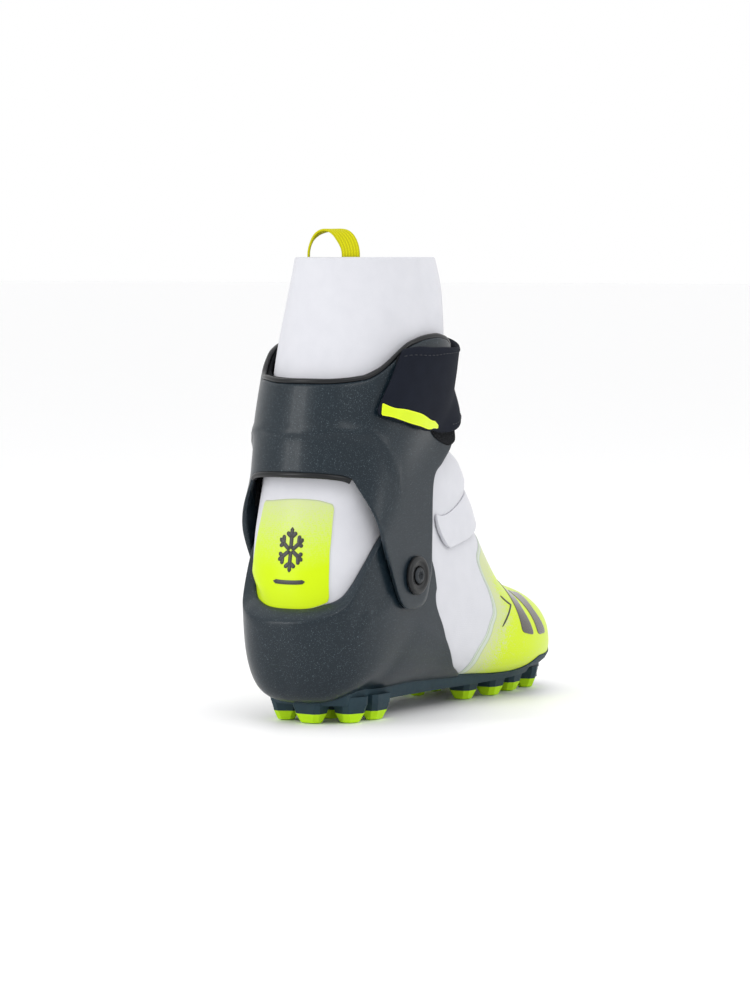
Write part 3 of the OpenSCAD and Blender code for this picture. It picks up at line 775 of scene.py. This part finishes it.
def patch_emblem():
    """Generic snow star and a plain bar on the heel patch."""
    centre_s, centre_a, width, arm = 11.84, 270, 2.3, 12
    up_mm = np.linalg.norm(last(centre_s + 0.05, centre_a, 0.7) - last(centre_s, centre_a, 0.7)) / MM / 0.05
    side_mm = np.linalg.norm(last(centre_s, centre_a + 1, 0.7) - last(centre_s, centre_a - 1, 0.7)) / MM / 2

    def from_centre(length, degrees, start=(0, 0)):
        t = math.radians(degrees)
        return start[0] + length * math.cos(t), start[1] + length * math.sin(t)

    def rounded(p):
        t = np.linspace(0, np.linalg.norm(p[-1] - p[0]) / MM, len(p))
        near = np.clip(np.minimum(t, t[-1] - t) / (width / 2), 0, 1)
        return np.maximum(np.sqrt(1 - (1 - near) ** 2), 0.15)

    strokes = []
    for degrees in range(30, 390, 60):
        strokes.append((from_centre(0.6, degrees), from_centre(arm, degrees)))
        foot = from_centre(0.58 * arm, degrees)
        strokes += [(foot, from_centre(4.4, degrees + turn, foot)) for turn in (55, -55)]
    strokes.append(((-14, -17.5), (14, -17.5)))
    solids = []
    for (x0, y0), (x1, y1) in strokes:
        s = centre_s + np.linspace(y0, y1, 12) / up_mm
        a = centre_a + np.linspace(x0, x1, 12) / side_mm
        solids.append(ribbon(s, a, softshell_puff(s, a) + 0.62, rounded_bar(width, 0.5, 0.2, 3), rounded))
    obj = joined("patch_emblem", solids, MAT["decor_line"], smooth=True)
    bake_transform(obj)


def lace_cover():
    def crown(s, a):
        middle = (edge_at(COVER, a, 1) + edge_at(COVER, a, 2)) / 2
        return 2.3 + 0.9 * bell(s, middle, 0.45) + 0.3 * np.sin(np.radians(6 * a))

    obj = plate(
        "lace_cover_flap", COVER, level(1.0), crown, MAT["softshell"], steps=22, per_row=9, edge=0.7, corner=5
    )
    piece(obj, "cover", "softshell", "lace_cover")


# ---- Shells ----


def drilled(obj, x_low, x_high, r):
    """Cuts the pivot's hole through an arm or ear on both sides, from x_low to x_high."""
    for sign in (1, -1):
        bpy.ops.mesh.primitive_cylinder_add(
            vertices=64, radius=r * MM, depth=(x_high - x_low) * MM, rotation=(0, math.pi / 2, 0),
            location=(sign * (x_low + x_high) / 2 * MM, PIVOT[0] * MM, PIVOT[1] * MM),
        )
        cutter = bpy.context.object
        cut = obj.modifiers.new("hole", "BOOLEAN")
        cut.operation, cut.solver, cut.object = "DIFFERENCE", "EXACT", cutter
        bpy.context.view_layer.objects.active = obj
        bpy.ops.object.modifier_apply(modifier=cut.name)
        bpy.data.objects.remove(cutter)


def cuff_ridge(s, a):
    """The moulded ridge that runs round the ring and down the arms, as a distance from it in sections."""
    a = np.where(a > 270, 540 - a, a)
    line = np.interp(a, [150, 188, 199, 213, 225, 244, 270], [9, 11.2, 12.3, 12.95, 13.3, 13.48, 13.52])
    return s - line


def flat_arm(p, s, layer):
    """Flattens the arms to a plane layer millimetres outside the chassis, fading out above them."""
    x = p[..., 0] / MM
    p = p.copy()
    p[..., 0] = np.sign(x) * mix(np.abs(x), ARM_X + layer, 1 - ramp(s, 11.5, 12.7)) * MM
    return p


def cuff_shell():
    def outer(s, a):
        ridge = cuff_ridge(s, a)
        step = 0.7 * ramp(-ridge, 0.0, 0.25) * ramp(a, 196, 206) * ramp(-a, -344, -334)
        crest = 0.9 * bell(ridge, 0.0, 0.07) - step
        seam = -0.3 * bell(a, 270, 0.35)
        return cuff_off(s, a) + crest * ramp(a, 190, 200) * ramp(-a, -350, -340) + seam

    obj = plate(
        "cuff_shell_moulding", about(CUFF, 270, MEDIAL_DROP), raised(cuff_off, -CUFF_T), outer, MAT["shell"],
        steps=34, per_row=9, edge=1.25, corner=7, shape=lambda p, s, a, share: flat_arm(p, s, share * CUFF_T),
    )
    drilled(obj, 38, 50, BUSH_R)
    piece(obj, "cuff", "shell", "cuff_shell")


def chassis():
    def outer(s, a):
        bulge = 8.5 * rear(a) * ramp(s, 9, 10.6) - 2.1 * rear(a) * ramp(-s, -9, -8)
        side = np.where(a > 270, 540 - a, a)
        step_line = np.interp(side, [190, 197, 217, 224, 235, 270], [10.1, 10.37, 10.61, 10.57, 10.45, 10.4])
        step = 1.1 * ramp(s - step_line, -0.03, 0.1) * ramp(side, 193, 200) * ramp(-side, -236, -217)
        seam = 0.3 * bell(a, 270, 0.4) * ramp(s, 8.6, 9.2)
        return 3.1 + bulge - step - seam

    def boss(p, s, a, share):
        """Keeps the outer half of the thickness inside the plane that the arms turn on."""
        p = p.copy()
        limit = np.where(share > 0.5, CHASSIS_X, np.inf) * MM
        p[..., 0] = np.clip(p[..., 0], -limit, limit)
        return p

    obj = plate(
        "heel_chassis_moulding", about(CHASSIS, 270), level(0.15), outer, MAT["shell"],
        steps=44, per_row=11, edge=1.2, corner=6, shape=boss,
    )
    drilled(obj, 36, 46, 5.0)
    piece(obj, "boot", "shell", "heel_chassis")


# Outlines of the pivot cap, the screw and its socket: radius, distance outwards from the arm
CAP_OUTLINE = [
    (2.6, 0), (10.2, 0), (10.5, 0.3), (10.5, 1.3), (10.2, 1.9), (9.6, 2.45), (8.9, 2.6), (8.1, 2.6),
    (7.6, 2.45), (7.3, 2.0), (7.1, 1.85), (5.6, 1.8), (5.3, 1.65), (5.2, 0.9), (2.6, 0.9),
]
SCREW_END = 35.4 - CAP_X
SCREW_OUTLINE = [
    (2.45, SCREW_END), (2.45, 0.95), (4.2, 0.95), (4.5, 1.2), (4.45, 2.1), (4.1, 2.6), (3.3, 2.85),
]
SOCKET_OUTLINE = [(2.25, 2.9), (2.15, 2.75), (2.1, 1.6)]


def pivot_ring(sign, r, h, segments=64):
    """Points round the pivot's axis on one side; r may vary round the ring."""
    ring = circle(1, segments) * np.reshape(r, (-1, 1)) + PIVOT
    return np.insert(ring, 0, sign * (CAP_X + h), axis=1) * MM


def pivot_cap(name, sign):
    """Ring with a rounded rim and a dished face."""
    rings = np.array([pivot_ring(sign, r, h) for r, h in CAP_OUTLINE])
    ids = np.pad(np.arange(rings[..., 0].size).reshape(rings.shape[:2]), ((0, 1), (0, 1)), mode="wrap")
    return add_object(name, rings.reshape(-1, 3), quads(ids), MAT["cap"])


def star_screw(name, sign, segments=72):
    """Screw with a domed head and a six-lobed socket, down to the nut inside the boot."""
    lobes = 1 + 0.13 * np.cos(6 * np.linspace(0, 2 * math.pi, segments, endpoint=False))
    rings = [pivot_ring(sign, r, h, segments) for r, h in SCREW_OUTLINE]
    rings += [pivot_ring(sign, r * lobes, h, segments) for r, h in SOCKET_OUTLINE]
    return add_object(name, *layered(rings), MAT["dark_steel"])


def pivots():
    for side, sign, caps, screws in (
        ("medial", 1, ["pivot_caps"], ["pivot_screws"]), ("lateral", -1, [], [])
    ):
        piece(pivot_cap(f"pivot_cap_{side}", sign), "boot", "cap", *caps)
        piece(star_screw(f"pivot_screw_{side}", sign), "boot", "steel", *screws)


# ---- Lining, pads and strap ----


def lining():
    def outer(s, a):
        return cuff_off(s, a) - CUFF_T - 0.1 - 0.5 * (1 - rear(a))

    rows = [[a, lo, hi - 0.04] for a, lo, hi in about(LINING, 270, MEDIAL_DROP)]
    obj = plate(
        "cuff_lining_pad", rows, level(1.15), outer, MAT["lining"], steps=22, per_row=8, edge=1.4, corner=5
    )
    piece(obj, "cuff", "lining", "cuff_lining")


def edge_piping():
    """Glossy edge of the lining along the top of the cuff and over its window."""
    rows = about(CUFF, 270, MEDIAL_DROP)
    for name, column, first, last_a, shift, r in (
        ("cuff_piping_top", 2, 152, 388, 0.03, 1.5), ("cuff_piping_window", 1, 234.5, 305.5, -0.035, 1.6)
    ):
        a = np.linspace(first, last_a, 240)
        s = edge_at(rows, a, column)
        obj = tube(name, last(s + shift, a, cuff_off(s, a) - CUFF_T / 2 - 0.3), r, MAT["piping"])
        piece(obj, "cuff", "lining")


def arm_pads():
    """Mesh pads on the inside of the arms, above the ears of the chassis."""
    depth = 1.5
    rows = [[178, 11.62, 12.2], [188, 11.6, 12.5], [199, 11.7, 12.7], [207, 11.85, 12.7]]
    for side, outline, nodes in (
        ("lateral", rows, ()), ("medial", [[540 - a, lo, hi] for a, lo, hi in rows], ("arm_pads",))
    ):
        obj = plate(
            f"arm_pad_{side}", outline, raised(cuff_off, -CUFF_T - 0.1 - depth),
            raised(cuff_off, -CUFF_T - 0.1), MAT["mesh_pad"], steps=22, per_row=10, edge=1.0, corner=3,
            shape=lambda p, s, a, share: flat_arm(p, s, depth * (share - 1) - 0.1),
        )
        piece(obj, "cuff", "lining", *nodes)


def strap_off(s, a):
    return cuff_off(s, a) + 1.7 + 5.2 * np.cos(np.radians(a)) ** 2 * (1 - ramp(s, 11.45, 12.3))


def strap_piece(name, rows, inner, outer, key, body, node, slot, **settings):
    piece(plate(name, rows, inner, outer, MAT[key], **settings), body, slot, node)


def strap():
    strap_piece(
        "strap_webbing", STRAP, strap_off, raised(strap_off, STRAP_T), "webbing", "strap", "strap", "webbing",
        steps=26, per_row=9, edge=1.0, corner=2.5, slant=(14, 0),
    )
    band = [
        [221, 13.53, 13.7], [213, 13.41, 13.55], [203, 13.2, 13.39], [191, 12.9, 13.11], [182, 12.6, 12.77],
        [175, 12.37, 12.44],
    ]
    strap_piece(
        "strap_band", band, raised(strap_off, STRAP_T - 0.3), raised(strap_off, STRAP_T + 0.3),
        "trim", "strap", "strap_edge", "strap_trim", steps=12, per_row=10, edge=0.3, corner=1.5,
    )
    loop_rows = [[212, 13.5, 14.3], [198, 13.2, 14.28], [182, 12.7, 14.05], [168, 12.2, 13.8]]
    strap_piece(
        "strap_loop_pad", loop_rows, raised(strap_off, -0.9), raised(strap_off, 0.05),
        "fuzz", "strap", "loop_pad", "cord", steps=14, per_row=8, edge=0.5, corner=3,
    )
    hook_rows = [
        [208, 13.5, 14.05], [196, 13.2, 14.1], [182, 12.72, 13.95], [170, 12.05, 13.75], [158, 11.42, 13.5],
        [152, 11.3, 13.3],
    ]
    strap_piece(
        "cuff_hook_pad", hook_rows, raised(cuff_off, -0.2), raised(cuff_off, 0.8),
        "fuzz", "cuff", "hook_pad", "cord", steps=20, per_row=8, edge=0.5, corner=3,
        shape=lambda p, s, a, share: flat_arm(p, s, CUFF_T - 0.2 + share),
    )
    anchor_rows = [[14, 12, 13.95], [3, 12.3, 14.1], [-8, 12.7, 14.05]]
    strap_piece(
        "strap_anchor", anchor_rows, raised(cuff_off, 0.1), raised(cuff_off, 2.9),
        "webbing", "cuff", "strap_tab", "webbing", steps=14, per_row=8, edge=1.0, corner=3,
    )


def strap_stitches():
    for key, column, shift, first in (("low", 1, 0.09, 160), ("high", 2, -0.09, 210)):
        a = np.linspace(first, 24, 150)
        s = edge_at(STRAP, a, column) + shift
        p, n = loft_line(s, a, strap_off(s, a) + STRAP_T + 0.12)
        piece(stitches(f"strap_stitches_{key}", p, n, MAT["dark_thread"]), "strap", "webbing")


def pull_loop():
    """Ribbed tape that leaves the rim edge-on at one end, goes over and turns to lie flat at the other."""
    r, rise, drop, y, width, thickness = 13.3, 1.2, 11, 82.5, 9.8, 1.3
    middle, rim_z = LAST[TOP_S][5] - 1, LAST[TOP_S][3]
    arch = [(middle + r * math.cos(c), rim_z + rise + r * math.sin(c)) for c in np.linspace(0, math.pi, 40)]
    down = np.linspace(0, 1, 10)[1:]
    ends = [[(middle + sign * r, rim_z + rise - (drop + rise) * k) for k in down] for sign in (1, -1)]
    line = np.array(ends[0][::-1] + arch + ends[1])
    path = np.stack([line[:, 0], np.full(len(line), y), line[:, 1]], -1) * MM
    angle = np.radians(mix(-59, -149, ramp(np.linspace(0, 1, len(path)), 0.25, 0.75)))
    want = np.stack([np.cos(angle), np.sin(angle), np.zeros_like(angle)], -1)
    side, up = axes_along(path, np.cross(want, np.gradient(path, axis=0)))
    obj = sweep("pull_loop_tape", path, rounded_bar(width, thickness, 0.5, 4), side, up, MAT["loop_tape"])
    piece(obj, "cuff", "loop_tape", "pull_loop")


# ---- Inside ----


def insides():
    """Footbed, heel padding and tongue."""
    def under_foot(s, a):
        return top - 3.2 - 0.5 * bell(a, 270, 25) * bell(s, 6.5, 1.6)

    top = -SOFT_T - 2.25
    floor = [[238, 0.9, 9.7], [254, 0.7, 9.9], [270, 0.7, 9.95], [286, 0.7, 9.9], [302, 0.9, 9.7]]
    heel = about([[208, 10.6, 11.9], [228, 10.5, 12.2], [250, 10.45, 12.25], [270, 10.4, 12.25]], 270)
    instep = [[58, 5.6, 9.2], [74, 5.5, 9.35], [90, 5.5, 9.4], [106, 5.5, 9.35], [122, 5.6, 9.2]]
    obj = plate(
        "footbed_pad", floor, under_foot, level(top), MAT["foam"], steps=50, per_row=8, edge=1.4, corner=8
    )
    piece(obj, "boot", "foam", "footbed")
    obj = plate(
        "heel_pad", heel, lambda s, a: -SOFT_T - 3.9 - 0.8 * bell(s, 11.3, 0.5), level(-SOFT_T - 0.15),
        MAT["lining"], steps=18, per_row=8, edge=1.5, corner=8,
    )
    piece(obj, "boot", "lining", "heel_padding")
    obj = plate(
        "tongue_pad", instep, level(-14.0), lambda s, a: -11.6 + 0.25 * np.sin(s * 9),
        MAT["tongue"], steps=26, per_row=7, edge=1.2, corner=7,
    )
    piece(obj, "boot", "foam", "tongue")


# ---- Sole ----

TIP_H, SOLE_A = 5, 236
# Middle X and Y, width, length and turn in degrees of each lug
HEEL_LUGS = [
    [-23.5, 74, 10, 14, 0], [-20, 93, 12, 13, -26], [-3, 105, 15, 11, -4], [17, 98, 12, 12, 26],
    [24.5, 76, 10, 14, 0], [24, 56, 9, 13, 0], [0, 64, 13, 9, 0], [0, 83, 14, 9, 0],
]
FORE_LUGS = [
    [-18, -33, 12, 12, 0], [-21, -58, 12, 13, 0], [-18.5, -83, 12, 13, 6], [-18.5, -105, 11, 12, 24],
    [12.5, -34, 9, 12, 0], [26, -33, 9, 13, 0], [25.5, -58, 11, 13, 0], [24.5, -83, 11, 13, -6],
    [24.5, -105, 11, 12, -24], [13.5, -57, 6, 11, 0], [13, -80, 6, 10, 0],
]


def lug_loop(lug, grow, z):
    """Outline of a lug at a height, grow millimetres larger all round."""
    x, y, w, l, turn = lug
    outline = rounded_bar(w + 2 * grow, l + 2 * grow, 2.4, 2)
    c, s = math.cos(math.radians(turn)), math.sin(math.radians(turn))
    px = x + outline[:, 0] * c - outline[:, 1] * s
    py = y + outline[:, 0] * s + outline[:, 1] * c
    return np.stack([px, py, np.full(len(px), z)], -1) * MM


def sole():
    """Rubber sole that hugs the underside and wraps up round the toe, with its lugs and ridges."""
    middle_a = 262
    s = np.linspace(0.28, 9.95, 100)
    wrap = mix(198, 232, ramp(s, 4.5, 5.4))

    def loop(angle, off, z=None):
        heel = last(s[-1], np.linspace(angle[-1], 540 - angle[-1], 13)[1:-1], off)
        toe = last(s[0], np.linspace(540 - angle[0], angle[0], 9)[1:-1], off)
        points = np.concatenate([last(s, angle, off), heel, last(s[::-1], 540 - angle[::-1], off), toe])
        if z is not None:
            toe_lift = 6 * ramp(-points[:, 1] / MM, 122, 132)
            points[:, 2] = (z + toe_lift) * MM
        return points

    under = np.full_like(s, SOLE_A)
    loops = [loop(under, -3.4, 9.6), loop(under, -2.7, 9.75), loop(under, -2.3, 10.3), loop(under, 0.8)]
    loops += [loop(mix(under, wrap, t), 1.3) for t in (0.35, 0.7, 0.96)]
    loops += [loop(wrap, 0.9), loop(wrap, 0.1)]
    loops += [loop(mix(wrap, middle_a, 0.5), -0.5), loop(mix(under, middle_a, 0.98), -0.5)]
    solids = [layered(loops)]
    for lug in HEEL_LUGS + FORE_LUGS:
        steps = ((0.3, TIP_H), (0.9, 7.4), (1.5, 9.6), (1.7, 14 if lug in HEEL_LUGS else 12))
        solids.append(layered([lug_loop(lug, grow, z) for grow, z in steps]))
    width, length, middle_y = 3, 84, -56
    ridge = rounded_bar(width, length, 1.2, 3)
    for x in (-8, 8):
        rings = []
        for inset, z in ((0.3, 6.6), (0, 7.0), (0, 9.7)):
            ring = ridge * (1 - inset / width, 1 - inset / length) + (x, middle_y)
            rings.append(np.column_stack([ring, np.full(len(ring), z)]) * MM)
        solids.append(layered(rings))
    piece(joined("outsole_rubber", solids, MAT["rubber"]), "boot", "rubber", "outsole")
    steps = ((-1.9, 0), (-1.45, 0.35), (0.25, 4.6), (0.3, TIP_H))
    for name, lugs, node in (
        ("heel_tips", HEEL_LUGS, "heel_lug_tips"), ("fore_tips", FORE_LUGS, "forefoot_lug_tips")
    ):
        tips = [layered([lug_loop(lug, grow, z) for grow, z in steps]) for lug in lugs]
        piece(joined(name, tips, MAT["tip"]), "boot", "lug_tip", node)


# ---- CAD pieces that stay ----

NODE_LOOKS = {
    "bar_carrier": "nylon", "toe_bar": "steel", "sole_board": "board", "pivot_nuts": "steel",
    "pivot_bushes": "brass", "strap_rivets": "steel", "lace_guides": "cord", "laces": "cord",
    "lace_lock": "cap", "eyestays": "lining",
}


def dress_cad_nodes():
    for node, key in NODE_LOOKS.items():
        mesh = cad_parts[node].data
        mesh.materials.clear()
        mesh.materials.append(MAT[key])


# ---- Stage ----


def stage():
    """Wide pale floor in even white light."""
    look = Look("floor", (0.97, 0.97, 0.975, 1), 0.55)
    look.rough(look.noise(look.space(), 400.0, 2.0), 0.5, 0.6)
    half, z = 30, -0.0004
    corners = [[-half, -half, z], [half, -half, z], [half, half, z], [-half, half, z]]
    add_object("floor", corners, [[0, 1, 2, 3]], look.material)
    world = bpy.data.worlds.new("studio")
    bpy.context.scene.world = world
    world.use_nodes = True
    background = world.node_tree.nodes["Background"]
    background.inputs["Color"].default_value = (1, 1, 1, 1)
    background.inputs["Strength"].default_value = 1.0
    bpy.context.scene.view_settings.view_transform = "Standard"


def softbox(name, place, target, size, power):
    light = bpy.data.lights.new(name, "AREA")
    light.shape, light.size, light.size_y, light.energy = "RECTANGLE", size[0], size[1], power
    lamp = bpy.data.objects.new(name, light)
    bpy.context.scene.collection.objects.link(lamp)
    lamp.location = place
    lamp.rotation_euler = (Vector(target) - Vector(place)).to_track_quat("-Z", "Y").to_euler()


def lights():
    middle = (0, 0, 0.12)
    softbox("key", (-1.0, 1.2, 1.6), middle, (1.0, 1.0), 8)
    softbox("side", (-1.5, -0.6, 0.8), middle, (0.2, 1.3), 3.5)
    softbox("back", (0.95, 1.5, 0.8), middle, (0.16, 1.4), 8)
    softbox("top", (0, -0.2, 1.7), middle, (1.2, 1.2), 3)


def camera():
    """The photo's viewpoint. Focal length, middles and horizon are pixels of its 750 by 1000 frame."""
    focal, tall, sensor = 3780, 1000, 36
    boot_x, middle_x, horizon_y, middle_y = 312, 375, 257, 500
    azimuth, distance, height = math.radians(211), 2.022, 0.249
    data = bpy.data.cameras.new("camera")
    cam = bpy.data.objects.new("camera", data)
    bpy.context.scene.collection.objects.link(cam)
    back = Vector((math.sin(azimuth), -math.cos(azimuth), 0))
    right = (-back).cross(Vector((0, 0, 1)))
    aside = (boot_x - middle_x) / focal * distance
    cam.location = Vector((0, 0.099, 0)) + back * distance - right * aside + Vector((0, 0, height))
    cam.rotation_euler = (math.radians(90) - math.atan((middle_y - horizon_y) / focal), 0, azimuth)
    data.sensor_width = sensor
    data.lens = focal / tall * sensor
    data.clip_end = 50
    bpy.context.scene.camera = cam


stage()
lights()
camera()
dress_cad_nodes()
softshell()
toe_film()
toe_decor()
heel_patch()
patch_emblem()
lace_cover()
chassis()
cuff_shell()
pivots()
lining()
edge_piping()
arm_pads()
strap()
strap_stitches()
pull_loop()
insides()
sole()
